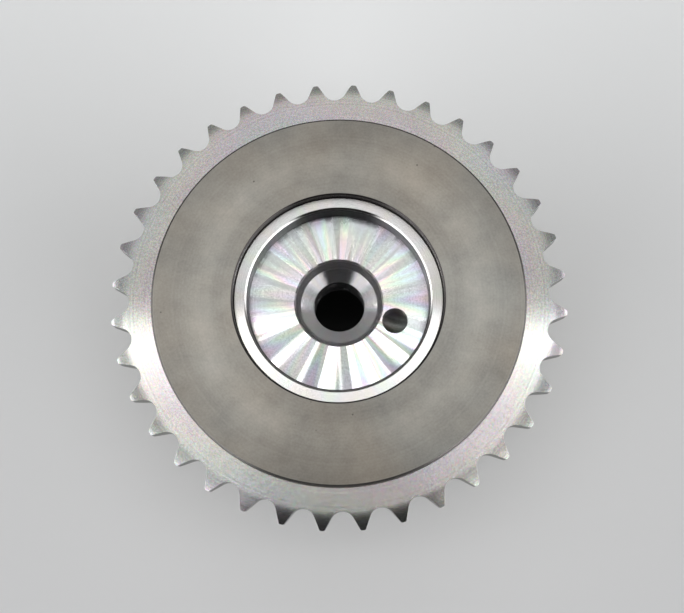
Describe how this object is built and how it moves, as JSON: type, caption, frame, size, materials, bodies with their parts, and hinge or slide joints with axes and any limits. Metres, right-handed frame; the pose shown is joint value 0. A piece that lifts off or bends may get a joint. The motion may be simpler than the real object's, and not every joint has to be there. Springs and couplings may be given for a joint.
{
  "type": "cam phaser",
  "caption": "Vane-type camshaft phaser: a toothed chain wheel on a round housing, with a bored rotor hub that turns inside it within stops.",
  "frame": {"origin": "on the phaser's axis, level with the faces of the cover screws that it lies on", "axes": "+Z along the axis, out of the camshaft side; +X and +Y lie in the wheel's plane, with the dowel hole 18.3 degrees below +X"},
  "size_m": [0.0944, 0.0944, 0.0343],
  "materials": {
    "ring_steel": "ground steel, bright, finely speckled",
    "housing_steel": "matte warm grey sintered steel",
    "cover_steel": "faced steel, satin",
    "screw_steel": "black oxide steel",
    "rotor_steel": "bright turned steel with radial sheen",
    "pin_steel": "hardened and ground steel",
    "spring_steel": "drawn spring steel",
    "seal_plastic": "dark filled polymer"
  },
  "bodies": {
    "housing": {"sprocket_ring": "ring_steel", "stator_housing": "housing_steel", "front_cover": "cover_steel", "cover_screws": "screw_steel", "lock_pin_seat": "pin_steel", "lobe_seal_1": "seal_plastic", "lobe_seal_spring_1": "spring_steel", "lobe_seal_2": "seal_plastic", "lobe_seal_spring_2": "spring_steel", "lobe_seal_3": "seal_plastic", "lobe_seal_spring_3": "spring_steel", "lobe_seal_4": "seal_plastic", "lobe_seal_spring_4": "spring_steel", "lobe_seal_5": "seal_plastic", "lobe_seal_spring_5": "spring_steel"},
    "rotor": {"rotor": "rotor_steel", "lock_pin_retainer": "rotor_steel", "lock_pin_spring": "spring_steel", "vane_seal_1": "seal_plastic", "vane_seal_spring_1": "spring_steel", "vane_seal_2": "seal_plastic", "vane_seal_spring_2": "spring_steel", "vane_seal_3": "seal_plastic", "vane_seal_spring_3": "spring_steel", "vane_seal_4": "seal_plastic", "vane_seal_spring_4": "spring_steel", "vane_seal_5": "seal_plastic", "vane_seal_spring_5": "spring_steel"},
    "lock_pin": {"lock_pin": "pin_steel"}
  },
  "joints": [
    {"name": "rotor_turn", "type": "hinge", "parent": "housing", "child": "rotor", "pos_m": [0, 0, 0.02], "axis": [0, 0, 1], "range_deg": [-11, 11]},
    {"name": "lock_pin_slide", "type": "slide", "parent": "rotor", "child": "lock_pin", "axis": [0, 0, 1], "range_m": [0, 0.0012], "stiffness_N_per_m": 1500, "springref_m": -0.004, "deforming": ["lock_pin_spring"]}
  ]
}
